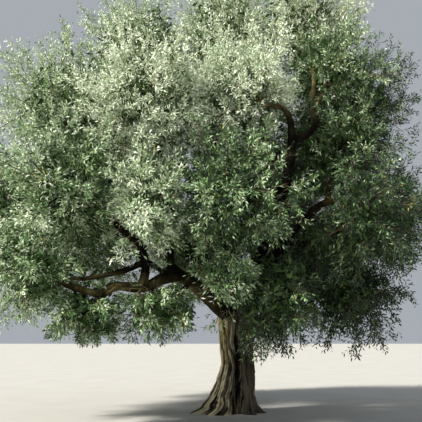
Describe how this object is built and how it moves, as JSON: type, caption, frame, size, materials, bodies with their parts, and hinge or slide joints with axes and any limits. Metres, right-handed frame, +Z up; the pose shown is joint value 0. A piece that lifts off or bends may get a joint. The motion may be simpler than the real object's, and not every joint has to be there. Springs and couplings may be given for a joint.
{
  "type": "olive tree",
  "caption": "Old garden olive tree rooted in the ground: a short fluted trunk with a wide root flare, spreading boughs and a broad, rounded crown of silvery green foliage.",
  "frame": {"origin": "on the trunk's flat cut at ground level, under the trunk", "axes": "+Z up the trunk, +X to the right and +Y to the back as the tree is seen in the picture"},
  "size_m": [9.3943, 7.2772, 8.9771],
  "materials": {
    "bark": "rough, fissured bark",
    "leaves": "satin leaves, paler below"
  },
  "bodies": {
    "root": {"trunk": "bark", "left_bough": "bark", "left_upright": "bark", "left_arm": "bark", "middle_limb": "bark", "left_hanging_limb": "bark", "middle_hanging_limb": "bark", "upper_bough": "bark", "upper_right_limb": "bark", "upper_side_limb": "bark", "centre_low_limb": "bark", "centre_limb": "bark", "right_bough": "bark", "right_rising_limb": "bark", "right_second_limb": "bark", "right_low_limb": "bark", "right_hanging_limb": "bark", "crown_bough": "bark", "left_high_bough": "bark", "left_top_limb": "bark", "top_middle_limb": "bark", "back_top_limb": "bark", "rear_left_bough": "bark", "left_end_limb": "bark", "back_top_left_limb": "bark", "rear_bough": "bark", "rear_right_bough": "bark", "right_high_bough": "bark", "back_top_right_limb": "bark", "inner_limb": "bark", "left_low_foliage": "leaves", "left_front_foliage": "leaves", "left_outer_foliage": "leaves", "middle_front_foliage": "leaves", "left_hanging_foliage": "leaves", "middle_hanging_foliage": "leaves", "centre_top_foliage": "leaves", "top_right_foliage": "leaves", "upper_right_foliage": "leaves", "centre_low_foliage": "leaves", "centre_front_foliage": "leaves", "right_end_foliage": "leaves", "right_front_foliage": "leaves", "right_middle_foliage": "leaves", "right_low_foliage": "leaves", "right_hanging_foliage": "leaves", "top_left_foliage": "leaves", "middle_top_foliage": "leaves", "left_top_foliage": "leaves", "top_middle_foliage": "leaves", "back_top_foliage": "leaves", "back_left_foliage": "leaves", "left_end_foliage": "leaves", "back_top_left_foliage": "leaves", "back_middle_foliage": "leaves", "back_right_foliage": "leaves", "right_top_foliage": "leaves", "back_top_right_foliage": "leaves", "inner_foliage": "leaves"}
  },
  "joints": []
}
